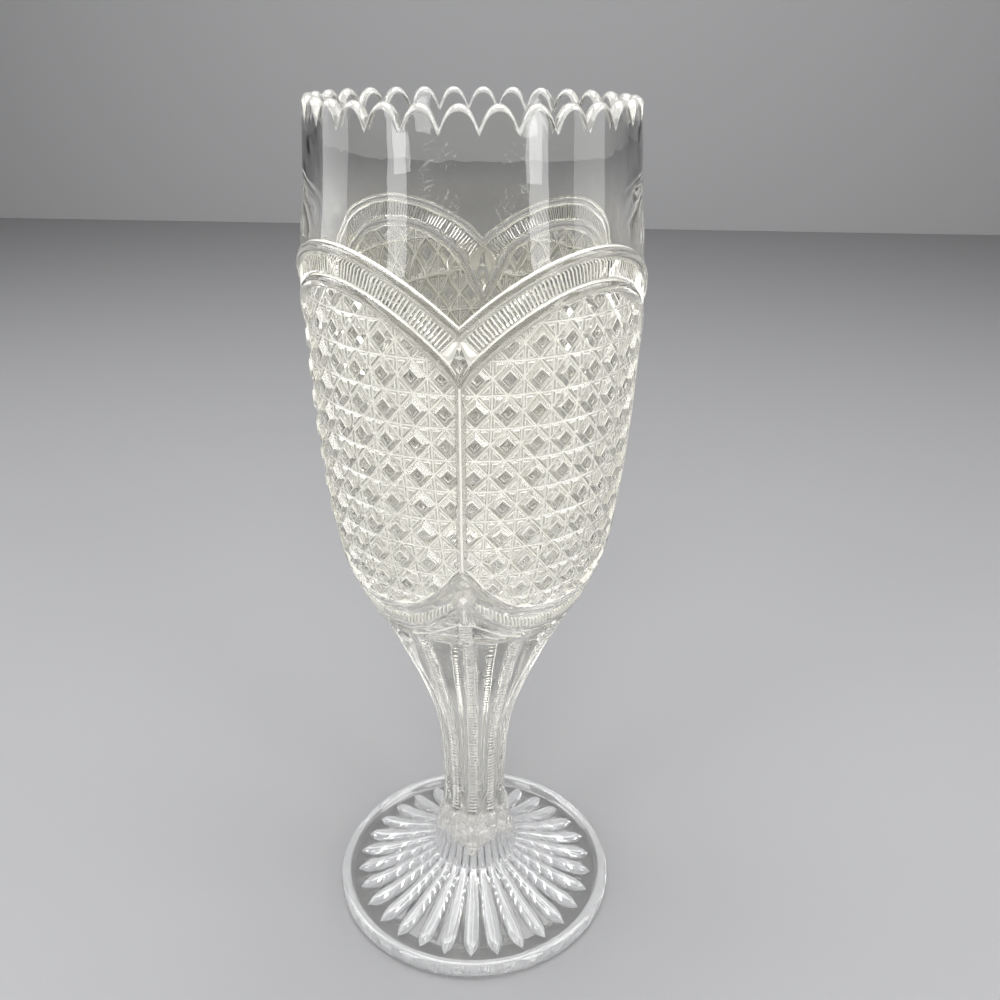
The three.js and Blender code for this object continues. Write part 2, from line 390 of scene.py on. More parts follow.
def low_tongue(x, z):
    x = np.abs(x)
    h = np.full(np.shape(x), 0.05)
    # three-sided facets each side of an upright rib
    facet = 0.6 - 0.3 * np.clip(x - 0.75, 0, 9) - 0.12 * np.abs(z - 123.0)
    h = np.where((z < 126.5) & (z > 121.0), np.maximum(h, facet), h)
    h = np.where((x < 0.75) & (z > 120.6), 1.0 - 0.9 * np.clip(x - 0.2, 0, 1), h)
    # notched tongue that runs up from the stem's rib
    wide = 1.8 * np.clip((121.2 - z) / 2.0, 0, 1)
    bar = np.abs((z - 111.0) / 1.25 - np.round((z - 111.0) / 1.25))
    tongue = 0.95 - 0.5 * soft(bar, 0.27, 0.5)
    h = np.where(x < wide, np.maximum(h, tongue), h)
    return h


LADDER_PITCH, LOW_PITCH = 1.15, 1.3


BAR, BAR_FOOT = 0.17, 0.36        # half widths of a rung's top and foot, as shares of the pitch


def rung_phase(t, pitch):
    return np.abs(t / pitch - np.round(t / pitch))


def rung(t, pitch):
    """1 on a rung, 0 between."""
    return 1 - np.clip((rung_phase(t, pitch) - BAR) / (BAR_FOOT - BAR), 0, 1)


def rib_d(d, x):
    """Distance below the arch, with the inner rib bent down into the upright rib."""
    return d - 0.42 * np.clip(2.8 - np.abs(x), 0, 3) ** 2 / 2.8


def low_along(x):
    return np.asarray(x, float) / 0.82


def relief(s, z):
    """Height in mm over the bowl's base surface."""
    s, z = np.asarray(s, float), np.asarray(z, float)
    x = half_width(z) - s
    d, t = arch_distance(s, z)
    dr = rib_d(d, x)
    h = np.zeros(len(s))

    lr, lt, le, lm, ll = LOW_RIB(x), LOW_LADDER_TOP(x), LOW_LADDER_END(x), LOW_MOULD_END(x), LOW_LINE(x)
    e = (z - lr) * slope_cos(LOW_RIB, x)

    # diamond field
    field = (dr > RIB_OUT + WALL / 2) & (e > LOW_HALF + WALL / 2) & (x > RIB_W + WALL / 2)
    h = np.where(field, lattice(s, z), h)

    # ribs round the field
    top_rib = np.where((dr >= RIB_IN - 0.01) & (dr <= RIB_OUT + WALL / 2),
                       0.12 + 1.0 * dome((dr - (RIB_IN + RIB_OUT) / 2) / ((RIB_OUT - RIB_IN) / 2)), -9)
    low_rib = np.where((np.abs(e) <= LOW_HALF + WALL / 2), 0.12 + 0.98 * dome(e / LOW_HALF), -9)
    up_rib = np.where((x <= RIB_W + WALL / 2) & (z < 193) & (z > 136),
                      0.2 + 0.95 * (1 - np.hypot(x, 0.2) / (RIB_W + 0.1)), -9)
    up_rib = np.where((dr < (RIB_IN + RIB_OUT) / 2) | (e < 0), -9, up_rib)
    ribs = np.maximum(np.maximum(top_rib, low_rib), up_rib)
    h = np.where(~field & (ribs > -1), ribs, h)

    # arch: outer moulding and ladder
    mould = 0.02 + 1.28 * dome((d - MOULD_W / 2) / (MOULD_W / 2))
    h = np.where((d >= 0) & (d <= MOULD_W), mould, h)
    env = soft(d, MOULD_W + 0.2, MOULD_W + 0.8) * (1 - soft(dr, RIB_IN - 0.8, RIB_IN - 0.2))
    ladder = -0.1 + 0.75 * rung(t, LADDER_PITCH) * env
    in_cross = zone_top(x, z, d)
    h = np.where((d > MOULD_W) & (dr < RIB_IN) & ~in_cross, ladder, h)
    h = np.where(in_cross, -0.05, h)
    h = np.where(d < 0, 0.0, h)

    # below the lower rib
    below = (e < -LOW_HALF)
    sag = np.clip((z - lt) / np.maximum(lr - LOW_HALF - lt, 0.3), 0, 1)
    h = np.where(below & (z >= lt), -0.02 - 0.3 * np.sin(sag * math.pi), h)
    env = soft(z, le, le + 0.5) * (1 - soft(z, lt - 0.5, lt))
    low_ladder = 0.0 + 0.85 * rung(low_along(x), LOW_PITCH) * env
    h = np.where(below & (z < lt) & (z > le), low_ladder, h)
    mid = (le + lm) / 2
    h = np.where((z <= le) & (z >= lm), 0.05 + 1.0 * dome((z - mid) / ((le - lm) / 2)), h)
    h = np.where((z < lm), 0.1, h)
    line = np.clip(1 - np.abs(z - ll) / 0.55, 0, 1)
    h = np.where((z < lm), h + 0.5 * line, h)
    h = np.where(zone_low(x, z), -0.15, h)
    h = np.where(zone_tongue(x, z), low_tongue(x, z), h)
    h = np.where(z < 112.55, 0.95, h)

    # the named points keep their own heights
    for points in (CROSS_POINTS, LOW_POINTS):
        for px, pz, ph in points.values():
            near = (np.abs(x - px) < 0.02) & (np.abs(z - pz) < 0.02)
            h = np.where(near, ph, h)
    return h


def painted_light_slots(s, z):
    """Slot of each face: 2 on crests, edges and rungs, a milky white painted highlight where the glass would catch
    the light all along; 3 on facets, a milder painted sheen; 0 clear.
    """
    x = half_width(z) - s
    d, t = arch_distance(s, z)
    dr = rib_d(d, x)
    e = (z - LOW_RIB(x)) * slope_cos(LOW_RIB, x)
    field = (dr > RIB_OUT + WALL) & (e > LOW_HALF + WALL) & (x > RIB_W + WALL)
    kind = np.zeros(len(s), int)
    line, flat = on_line(s, z)
    kind = np.where(field & ~flat, 3, kind)
    kind = np.where(field & line, 2, kind)
    kind = np.where((x < RIB_W) & (z > 139.5) & (z < 189.5), 3, kind)
    kind = np.where((x < 0.26) & (z > 139.5) & (z < 189.5), 2, kind)
    above = z > 160
    kind = np.where(above & (d > 1.3) & (d < MOULD_W), 3, kind)
    kind = np.where(above & (dr > (RIB_IN + RIB_OUT) / 2) & (dr < RIB_OUT) & (x > 0.3), 3, kind)
    kind = np.where(above & (np.abs(d - 0.03) < 0.16), 2, kind)
    kind = np.where(above & (np.abs(d - MOULD_W) < 0.2), 2, kind)
    zone = zone_top(x, z, d)
    kind = np.where(above & (np.abs(dr - RIB_IN) < 0.2) & (x > 0.8), 2, kind)
    kind = np.where(above & (np.abs(dr - RIB_OUT) < 0.17) & (x > 1.2), 2, kind)
    bars = (d > MOULD_W + 0.2) & (dr < RIB_IN - 0.2) & ~zone & above & (rung_phase(t, LADDER_PITCH) < BAR)
    kind = np.where(bars, 2, kind)
    kind = np.where(zone, 0, kind)
    kind = np.where(zone & inside(PETAL, x, z), 2, kind)
    kind = np.where(zone & (x < 0.6) & (z > 196.3) & (z < 199.4), 2, kind)
    kind = np.where(zone & inside(LOZENGE, x, z) & ~inside(LOZENGE_IN, x, z), 2, kind)
    # lower arches
    low = z < 140
    kind = np.where(low & (np.abs(np.abs(e) - LOW_HALF) < 0.2), 2, kind)
    lt, le, lm, ll = LOW_LADDER_TOP(x), LOW_LADDER_END(x), LOW_MOULD_END(x), LOW_LINE(x)
    lz, tz = zone_low(x, z), zone_tongue(x, z)
    rungs = (z < lt) & (z > le) & ~lz & ~tz & (x > 3.2) & (rung_phase(low_along(x), LOW_PITCH) < BAR_FOOT)
    kind = np.where(rungs, 2, kind)
    kind = np.where((np.abs(z - ll) < 0.28) & (z < lm) & ~tz, 2, kind)
    kind = np.where((np.abs(z - lm) < 0.15) & ~tz, 2, kind)
    kind = np.where(lz, 3, kind)
    kind = np.where(lz & inside(SMALL_LOZENGE, x, z), 2, kind)
    bar = np.abs((z - 111.0) / 1.25 - np.round((z - 111.0) / 1.25))
    kind = np.where(tz & (z < 120.6) & (bar < 0.27), 2, kind)
    kind = np.where(tz & (z > 121.0) & (x < 0.3), 2, kind)
    return kind


def zone_top(x, z, d):
    """Where the small facets stand instead of the ladder."""
    edge = np.interp(z, [191.0, 194.0, 195.9, 197.15, 198.75, 200.15, 200.7, 201.5],
                     [5.5, 5.2, 4.75, 4.25, 3.0, 1.5, 0.0, 0.0])
    return (d > MOULD_W) & (rib_d(d, x) < RIB_IN) & (x < edge)


def zone_low(x, z):
    edge = np.interp(z, [126.9, 127.5, 129.4, 132.2, 136.4], [0.0, 2.0, 3.4, 1.3, 0.0])
    return (x < edge) & (z > 126.95) & (z < 136.4)


def zone_tongue(x, z):
    edge = np.interp(z, [111.0, 119.0, 121.0, 121.3, 124.9, 126.6], [1.85, 1.85, 1.0, 2.9, 2.6, 0.1])
    return (x < edge) & (z < 126.6) & (z < np.where(z > 121.2, LOW_LADDER_END(x), 999))


def clip_chain(points, keep):
    """Runs of consecutive points where keep is true."""
    out, run = [], []
    for p, k in zip(points, keep):
        if k:
            run.append(p)
        elif run:
            if len(run) > 1:
                out.append(np.array(run))
            run = []
    if len(run) > 1:
        out.append(np.array(run))
    return out


def half_panel():
    """Triangles of half a panel, as (s, z) points and faces."""
    pts, edges = [], []

    def chain(points):
        start = len(pts)
        pts.extend([tuple(map(float, p)) for p in points])
        edges.extend([(start + i, start + i + 1) for i in range(len(points) - 1)])

    def dots(points):
        pts.extend([tuple(map(float, p)) for p in points])

    # outline
    zz = np.concatenate([np.arange(111.0, 222.0, 1.0), [222.0]])
    chain(np.stack([half_width(zz), zz], 1))
    chain(np.stack([np.zeros(len(zz)), zz], 1))
    for z in (111.0, 222.0):
        w = float(half_width(z))
        chain(np.stack([np.linspace(0, w, 25), np.full(25, z)], 1))

    # arch bands, parallel to the top edge
    t_all = np.arange(0, ARCH_T[-1], 0.75)
    for d in (-0.13, 0.0, 0.19, 0.5, 0.9, 1.3, 1.7, 2.1, 2.41, 2.6, 2.79, 3.05, 3.4):
        line = arch_offset(np.full(len(t_all), d), t_all)
        x = half_width(line[:, 1]) - line[:, 0]
        ok = (line[:, 0] > -0.7) & (x > -0.7)
        if d > MOULD_W:
            ok &= ~zone_top(x, line[:, 1], np.full(len(x), d))
        for c in clip_chain(line, ok):
            chain(c)
    for d in (6.9, 7.25, 7.51, 7.7, 7.89, 8.2, 8.6, 9.15, 9.7, 10.1, 10.44, 10.6, 10.76):
        off = np.full(len(t_all), d)
        for _ in range(5):
            line = arch_offset(off, t_all)
            x = half_width(line[:, 1]) - line[:, 0]
            off = off + (d - rib_d(off, np.clip(x, 0, None)))
        ok = (line[:, 0] > -0.7) & (x > -0.7)
        if d < RIB_IN:
            ok &= ~zone_top(x, line[:, 1], np.full(len(x), d))
        for c in clip_chain(line, ok):
            chain(c)
    # rungs of the upper ladder
    for k in range(int(ARCH_T[-1] / LADDER_PITCH) + 1):
        for share in (-BAR_FOOT, -BAR, BAR, BAR_FOOT):
            t = (k + share) * LADDER_PITCH
            if t < 0 or t > ARCH_T[-1] - 0.1:
                continue
            line = arch_offset(np.array([3.05, 5.2, 7.2]), np.full(3, t))
            x = half_width(line[:, 1]) - line[:, 0]
            if line[0, 0] < -0.6 or x[1] < -0.4:
                continue
            line = line[~zone_top(np.clip(x, 0, None), line[:, 1], np.array([3.05, 5.2, 7.2]))]
            if len(line) > 1:
                chain(line)
    for points, links in ((CROSS_POINTS, CROSS_EDGES), (LOW_POINTS, LOW_EDGES)):
        for u, v in links:
            pair = np.array([points[u][:2], points[v][:2]])
            chain(np.stack([half_width(pair[:, 1]) - pair[:, 0], pair[:, 1]], 1))

    # lower bands
    xs = np.concatenate([np.arange(0, 36.5, 0.7)])

    def low_chain(table, shift=0.0, perpendicular=False, x_from=0.0, x_to=40.0):
        x = xs[(xs >= x_from) & (xs <= x_to)]
        z = table(x) + (shift / slope_cos(table, x) if perpendicular else shift)
        s = half_width(z) - x
        ok = (s > -0.7) & (z > 111.05) & ~zone_low(x, z) & ~zone_tongue(x, z)
        for c in clip_chain(np.stack([s, z], 1), ok):
            chain(c)

    for k in (-1.3, -1.15, -0.8, -0.4, 0.0, 0.4, 0.8, 1.15, 1.3, 1.45):
        low_chain(LOW_RIB, k, True)
    low_chain(lambda x: (LOW_RIB(x) - 1.3 / slope_cos(LOW_RIB, x) + LOW_LADDER_TOP(x)) / 2, x_from=2.1)
    for table, shifts in ((LOW_LADDER_TOP, (0.0, -0.25, -0.5)), (LOW_LADDER_END, (0.5, 0.25, 0.0))):
        for k in shifts:
            low_chain(table, k, x_from=2.1)
    for u in (0.06, 0.2, 0.4, 0.6, 0.8, 0.94, 1.0):
        low_chain(lambda x: LOW_LADDER_END(x) * (1 - u) + LOW_MOULD_END(x) * u, x_from=0.0)
    for k in (0.55, 0.28, 0.0, -0.28, -0.55):
        low_chain(LOW_LINE, k, x_from=1.4, x_to=14.0)
    for z in (112.4, 112.55, 112.7):
        w = float(half_width(z))
        chain(np.stack([np.linspace(0, w, 30), np.full(30, z)], 1))
    for k in range(2, 34):
        for share in (-BAR_FOOT, -BAR, BAR, BAR_FOOT):
            x = (k + share) * LOW_PITCH * 0.82
            if x < 3.6:
                continue
            z0, z1 = float(LOW_LADDER_END(x)) + 0.25, float(LOW_LADDER_TOP(x)) - 0.25
            s0, s1 = float(half_width(z0)) - x, float(half_width(z1)) - x
            if min(s0, s1) < -0.7:
                continue
            chain([(s0, z0), (s1, z1)])

    # upright rib between panels
    for x, z0, z1 in ((0.25, 137, 191), (0.55, 137, 191), (0.85, 137, 191), (1.05, 137, 191),
                      (RIB_W, 137, 192), (RIB_W + WALL, 137, 192)):
        z = np.arange(z0, z1 + 0.01, 1.5)
        chain(np.stack([half_width(z) - x, z], 1))

    # diamond field
    def in_field(p, grow=0.25):
        s, z = p[:, 0], p[:, 1]
        x = half_width(z) - s
        d, _ = arch_distance(s, z)
        d = rib_d(d, x)
        e = (z - LOW_RIB(x)) * slope_cos(LOW_RIB, x)
        return ((d > RIB_OUT + WALL - grow) & (e > LOW_HALF + WALL - grow)
                & (x > RIB_W + WALL - grow) & (s > -grow) & (z > 120))

    hyp = math.hypot(HALF_COL, HALF_ROW)

    def diamond(cx, cz, inset):
        k = 1 - inset / CELL_D
        return [(cx - HALF_COL * k, cz), (cx, cz + HALF_ROW * k), (cx + HALF_COL * k, cz), (cx, cz - HALF_ROW * k)]

    def corner(cx, cz, sx, sz, inset):
        """Small triangle of one quarter, at an inset from all three sides."""
        low = (cx + sx * inset, cz + sz * inset)
        # x from the side line at z = inset, and z from it at x = inset
        fx = HALF_COL * (1 - inset / HALF_ROW - inset / CELL_D)
        fz = HALF_ROW * (1 - inset / HALF_COL - inset / CELL_D)
        return [low, (cx + sx * fx, cz + sz * inset), (cx + sx * inset, cz + sz * fz)]

    segs = []
    for ca in range(-1, 11):
        for cb in range(-17, 6):
            if (ca + cb) % 2 == 0:
                continue
            cx, cz = ca * HALF_COL, ROW_Z + cb * HALF_ROW
            outer = diamond(cx, cz, 0.0)
            segs += [(outer[i], outer[(i + 1) % 4]) for i in range(4)]
            lip = diamond(cx, cz, ROUND)
            if cb % 2:
                segs += [(lip[i], lip[(i + 1) % 4]) for i in range(4)]
                for inset in (BUTTON_D - EASE, BUTTON_D + EASE):
                    sq = diamond(cx, cz, inset)
                    segs += [(sq[i], sq[(i + 1) % 4]) for i in range(4)]
                for share in (SINK_OUT, SINK_IN):
                    sq = diamond(cx, cz, CELL_D * (1 - share))
                    segs += [(sq[i], sq[(i + 1) % 4]) for i in range(4)]
                inner_sq = diamond(cx, cz, BUTTON_D + EASE)
                segs += [(outer[i], inner_sq[i]) for i in range(4)]
            else:
                C = (cx, cz)
                segs += [(C, o) for o in outer]
                for sx in (-1, 1):
                    for sz in (-1, 1):
                        for inset in (ROUND, STAR_TOP - EASE, STAR_TOP + EASE):
                            tri = corner(cx, cz, sx, sz, inset)
                            segs += [(tri[i], tri[(i + 1) % 3]) for i in range(3)]
                        tip = corner(cx, cz, sx, sz, STAR_TOP + EASE)
                        far = [C, (cx + sx * HALF_COL, cz), (cx, cz + sz * HALF_ROW)]
                        segs += list(zip(far, tip))
    for a, b in segs:
        a, b = np.array(a), np.array(b)
        n = 24
        line = a + (b - a) * np.linspace(0, 1, n + 1)[:, None]
        keep = in_field(line)
        if not keep.any():
            continue
        if keep.all():
            chain([a, b])
            continue
        idx = np.where(keep)[0]
        chain([line[idx[0]], line[idx[-1]]])

    # fine dots on the notched tongue
    gx, gz = np.meshgrid(np.arange(0.14, 3.2, 0.25), np.arange(112.8, 126.6, 0.208))
    gx, gz = gx.ravel(), gz.ravel()
    ok = zone_tongue(gx - 0.15, gz)
    dots(np.stack([half_width(gz) - gx, gz], 1)[ok])
    # plain collar
    for z in np.arange(205.0, 221.9, 1.4):
        w = float(half_width(z))
        s = np.linspace(0, w, 22)
        d, _ = arch_distance(s, np.full(22, z))
        dots(np.stack([s, np.full(22, z)], 1)[d < -0.5])
    for z in (221.4,):
        w = float(half_width(z))
        chain(np.stack([np.linspace(0, w, 25), np.full(25, z)], 1))

    res = delaunay_2d_cdt([Vector(p) for p in pts], edges, [], 0, 1e-4)
    v = np.array([(p.x, p.y) for p in res[0]])
    f = np.array([tuple(t) for t in res[2]])
    c = v[f].mean(1)
    w = half_width(c[:, 1])
    keep = (c[:, 0] > 0) & (c[:, 0] < w) & (c[:, 1] > 111) & (c[:, 1] < 222)
    return v, f[keep]


def make_bowl(materials):
    v, f = half_panel()
    s, z = v[:, 0].copy(), v[:, 1].copy()
    z = np.where(np.abs(z - 111) < 2e-3, 111.0, np.where(np.abs(z - 222) < 2e-3, 222.0, z))
    w = half_width(z)
    s = np.where(np.abs(s) < 0.02, 0.0, np.where(np.abs(s - w) < 0.02, w, s))
    f = f[~((s == 0)[f].all(1) | (s == w)[f].all(1))]      # slivers that lie in a mirror plane
    h = relief(s, z)
    h = np.where(z >= 221.999, 0.0, h)
    base = np.where(z > 200, np.maximum(COLLAR(z), PLATEAU(z) - BASE_DROP), PLATEAU(z) - BASE_DROP)
    r = base + h
    phi = (w - s) / w * QUARTER               # angle from the rib
    flip = ((v[f][:, 1] - v[f][:, 0])[:, 0] * (v[f][:, 2] - v[f][:, 0])[:, 1]
            - (v[f][:, 1] - v[f][:, 0])[:, 1] * (v[f][:, 2] - v[f][:, 0])[:, 0])
    f = np.where((flip < 0)[:, None], f[:, ::-1], f)   # counter-clockwise in (s, z)
    # Painted light: white highlight lines (slot 2) and white sheen on the facets (slot 3); the rest stays clear.
    kind = painted_light_slots(s[f].mean(1), z[f].mean(1))

    skin = Skin()
    bottom, top = [], []
    for panel in range(4):
        for side in (1, -1):
            theta = panel * TAU / 4 + side * phi
            start = skin.add(ring(r, z, theta))
            tri = f if side < 0 else f[:, ::-1]
            for t, k in zip(tri, kind):
                skin.face(start + t, int(k))
            for store, level in ((bottom, 111.0), (top, 222.0)):
                k = np.where((z == level) & (s >= -1e-6) & (s <= w + 1e-6))[0]
                store.append(ring(r[k], z[k], theta[k]))

    def ordered(chunks):
        p = np.concatenate(chunks)
        a = np.mod(np.arctan2(p[:, 0], -p[:, 1]) + 1e-5, TAU)
        p = p[np.argsort(a)]
        a = np.sort(a)
        keep = np.concatenate([[True], np.diff(a) > 2e-5])
        if a[-1] - a[0] > TAU - 2e-5:
            keep[-1] = False
        return p[keep]

    n_in = 180
    th = np.arange(n_in) * TAU / n_in
    levels = np.concatenate([np.arange(222, 150, -3.0), np.arange(150, 111.5, -1.5), [111.0]])
    levels = np.concatenate([[222.0, 221.5], levels[1:]])
    rows = [ring(INNER(q), q, th) for q in levels]
    starts = skin.grid(rows, 0)
    top_ring = ordered(top)
    s_top = skin.add(top_ring)
    skin.stitch((s_top, top_ring), (starts[0], rows[0]), 1)
    bottom_ring = ordered(bottom)
    s_bot = skin.add(bottom_ring)
    stem_ring = stem_row(STEM_TOP)
    s_stem = skin.add(stem_ring)
    skin.stitch((s_stem, stem_ring), (s_bot, bottom_ring), 0)
    skin.stitch((starts[-1], rows[-1]), (s_stem, stem_ring), 1)
    return skin.build("bowl_glass", materials, 35)


# ------------------------------------------------------------------ stem
RIBS, RIB_STEM_W, NOTCH = 10, 2.9, 1.25
RIB_PHASE = math.radians(0.9)
RIB_COLUMNS = np.array([-1.0, -0.9, -0.6, -0.2, 0.2, 0.6, 0.9, 1.0])
N_FLUTE = 10


BEND = np.radians([0, -8, 0, 0, 8, 0, -8, 0, 0, 8])     # ribs beside the front and back ones lean to them


def stem_columns(z):
    """Angle, kind (0 rib, 1 flute) and place across it of each column at a height."""
    r = float(STEM(z))
    half = min(RIB_STEM_W / 2 / r, TAU / RIBS * 0.36)
    centre = RIB_PHASE + np.arange(RIBS) * TAU / RIBS + BEND * float(soft(z, 66, 108))
    th, kind, u = [], [], []
    for k in range(RIBS):
        c = centre[k]
        flute = (centre[(k + 1) % RIBS] - c) % TAU - 2 * half
        th.extend(c + RIB_COLUMNS * half)
        kind.extend([0] * len(RIB_COLUMNS))
        u.extend(RIB_COLUMNS)
        q = np.arange(1, N_FLUTE) / N_FLUTE
        th.extend(c + half + flute * q)
        kind.extend([1] * len(q))
        u.extend(2 * q - 1)
    return np.array(th), np.array(kind), np.array(u)


def notch_phase(z):
    return abs((z - STEM_TOP) / NOTCH - round((z - STEM_TOP) / NOTCH))


def stem_row(z):
    th, kind, u = stem_columns(z)
    crest = float(STEM(z))
    rise = 0.95 * float(soft(z, 22, 40)) + 0.15
    cut = 0.6 * float(soft(notch_phase(z), 0.24, 0.5)) * float(soft(z, 31, 36))
    rib = crest - cut * (0.6 + 0.4 * u ** 2) - 0.25 * rise * np.abs(u) ** 8
    flute = crest - rise * (0.55 + 0.6 * (1 - u * u))
    return ring(np.where(kind == 0, rib, flute), z, th)


def lobe(theta):
    """0 in line with a panel's rib, 1 half way between."""
    return np.abs(np.sin(2 * theta)) ** 0.8


BASE_TOP = 29.9
RAYS = 30
RAY_PHASE = math.radians(2.3)
RAY_HALF = 0.091                                   # half angle of a ray where the foot meets the stem
RAY_COLUMNS = np.sin(np.linspace(-90, 90, 9) * math.pi / 180)
N_GAP = 3


def base_columns():
    """Angle, and place across its ray (2 in the gap between rays), of each column."""
    th, u = [], []
    for k in range(RAYS):
        c = RAY_PHASE + k * TAU / RAYS
        th.extend(c + RAY_COLUMNS * RAY_HALF)
        u.extend(RAY_COLUMNS)
        q = np.arange(1, N_GAP) / N_GAP
        th.extend(c + RAY_HALF + (TAU / RAYS - 2 * RAY_HALF) * q)
        u.extend([2.0] * len(q))
    return np.array(th), np.array(u)


def stem_radius(z, th):
    """Radius of the ribbed stem, without notches, at any angle."""
    crest = float(STEM(z))
    half = min(RIB_STEM_W / 2 / crest, TAU / RIBS * 0.36)
    a = np.abs(np.mod(th - RIB_PHASE + TAU / RIBS / 2, TAU / RIBS) - TAU / RIBS / 2)
    rise = 0.95 * float(soft(z, 22, 40)) + 0.15
    q = 1 - np.clip((a - half) / (TAU / RIBS / 2 - half), 0, 1)
    return np.where(a <= half, crest - 0.25 * rise * (a / half) ** 8, crest - rise * (0.55 + 0.6 * (1 - q * q)))


NUB_ROWS, NUB_SIDE, NUB = (18.9, 20.8, 22.7), 0.78, 0.8


def nubs(z, th):
    """Pairs of small beads up the front, back and both sides of the stem's base."""
    a = np.mod(th + TAU / 8, TAU / 4) - TAU / 8
    x = a * float(STEM(z))
    out = np.zeros(len(x))
    for level in NUB_ROWS:
        d = np.hypot((np.abs(x) - NUB_SIDE) / NUB, (z - level) / (NUB * 1.05))
        out = np.maximum(out, dome(d))
    return out


def base_row(z):
    """A row of the stem's base: rays below two tiers of rounded lappets."""
    th, u = base_columns()
    r = stem_radius(z, th)
    up = 27.5 + 5.2 * lobe(th)
    lo = 17.6 + 6.0 * lobe(th)
    fade = float(soft(z, 14.0, 15.2))
    tier = 0.75 * (1 - soft(z, up - 0.9, up + 0.1)) * soft(z, lo - 0.2, lo + 4.5)
    ledge = 0.45 * soft(z, lo - 0.1, lo + 0.35) * (1 - soft(z, lo + 0.3, lo + 5.0))
    below = 1 - soft(z, lo - 0.8, lo - 0.05)
    ray = np.where(np.abs(u) < 1.5, dome(np.clip(u, -1, 1)), 0.0)
    r = r + (tier + ledge) * fade - 0.95 * below * (1 - ray) + 0.45 * nubs(z, th)
    return ring(r, z, th)


def make_stem(materials):
    skin = Skin()
    bars = STEM_TOP - NOTCH * np.arange(0, 66)
    zs = np.concatenate([b - NOTCH * np.array([0, 0.27, 0.5, 0.73]) for b in bars])
    zs = np.unique(np.round(zs[(zs > BASE_TOP + 0.25) & (zs <= STEM_TOP)], 5))
    low = np.concatenate([np.arange(14.0, 25.0, 0.36), np.arange(25.1, BASE_TOP, 0.6), [BASE_TOP]])
    base = [base_row(z) for z in low]
    bs = [skin.add(r) for r in base]
    bth, bu = base_columns()
    m = len(bth)
    for k in range(len(base) - 1):
        mid = (low[k] + low[k + 1]) / 2
        lo = 17.6 + 6.0 * lobe(bth)
        nub = nubs(mid, bth)
        for i in range(m):
            j = (i + 1) % m
            ray = abs(bu[i]) < 1.5 and abs(bu[j]) < 1.5
            # Painted light: slot 2 paints a white highlight on the beads, slot 3 a white sheen on the lappets, slot 4
            # a white sheen on the rays; slot 0 stays clear.
            slot = 2 if max(nub[i], nub[j]) > 0.05 else 3 if mid > lo[i] - 0.4 else 4 if ray else 0
            skin.face((bs[k] + i, bs[k] + j, bs[k + 1] + j, bs[k + 1] + i), slot)
    rows = []
    for z in zs:
        p = stem_row(z)
        if z < 36:
            th = np.arctan2(p[:, 0], -p[:, 1])
            up = 27.5 + 5.2 * lobe(th)
            r = np.hypot(p[:, 0], p[:, 1]) + 0.75 * (1 - soft(z, up - 0.9, up + 0.1))
            p = ring(r, z, th)
        rows.append(p)
    starts = [skin.add(r) for r in rows]
    n = len(rows[0])
    skin.stitch((bs[-1], base[-1]), (starts[0], rows[0]), 3)
    _, kind, u = stem_columns(60.0)
    edge = (kind == 0) & (np.roll(kind, -1) == 0)
    for k in range(len(rows) - 1):
        mid = (zs[k] + zs[k + 1]) / 2
        bar = notch_phase(mid) < 0.27 and mid > 34
        for i in range(n):
            j = (i + 1) % n
            # Painted highlight (slot 2) on the bars of the notched ribs, and painted sheen (slot 3) all round below
            # 33 mm; the flutes stay clear.
            slot = (2 if bar else 0) if edge[i] and mid > 33 else (3 if mid < 33 else 0)
            skin.face((starts[k] + i, starts[k] + j, starts[k + 1] + j, starts[k + 1] + i), slot)
    n_in = 180
    th = np.arange(n_in) * TAU / n_in
    inner = [ring(INNER(111.0), 111.0, th)]
    for r, z in ((13.6, 110.5), (12.6, 110.0), (11.4, 109.45), (10.0, 108.9), (8.5, 108.4), (7.0, 107.98),
                 (5.4, 107.62), (3.8, 107.32), (2.0, 107.09)):
        inner.append(ring(r, z, th))
    si = skin.grid(inner, 0)
    c = skin.add([(0, 0, 107.0)])
    for i in range(n_in):
        skin.face((si[-1] + i, si[-1] + (i + 1) % n_in, c), 0)
    skin.stitch((starts[-1], rows[-1]), (si[0], inner[0]), 1)
    b = skin.add([(0, 0, FOOT_TOP)])
    for i in range(m):
        skin.face((b, bs[0] + (i + 1) % m, bs[0] + i), 1)
    return skin.build("stem_glass", materials, 32)


# ------------------------------------------------------------------ foot
FINGER = smooth_table([(14.3, 1.3), (17, 1.5), (20, 1.75), (24, 2.02), (28, 2.22), (32, 2.36), (34.6, 2.34),
                       (36.6, 1.95), (38.1, 1.25), (39.2, 0.45), (39.6, 0.16)])
FINGER_TOP = smooth_table([(14.3, 14.0), (15.2, 13.35), (17, 12.5), (20, 11.35), (23.5, 10.0), (27, 8.7), (30, 7.7),
                           (33.6, 6.75), (36, 6.2), (37.6, 5.6), (38.8, 4.6), (39.6, 3.7)])
FINGER_U = np.sin(np.linspace(-90, 90, 13) * math.pi / 180)
FLOOR_Z = 3.4


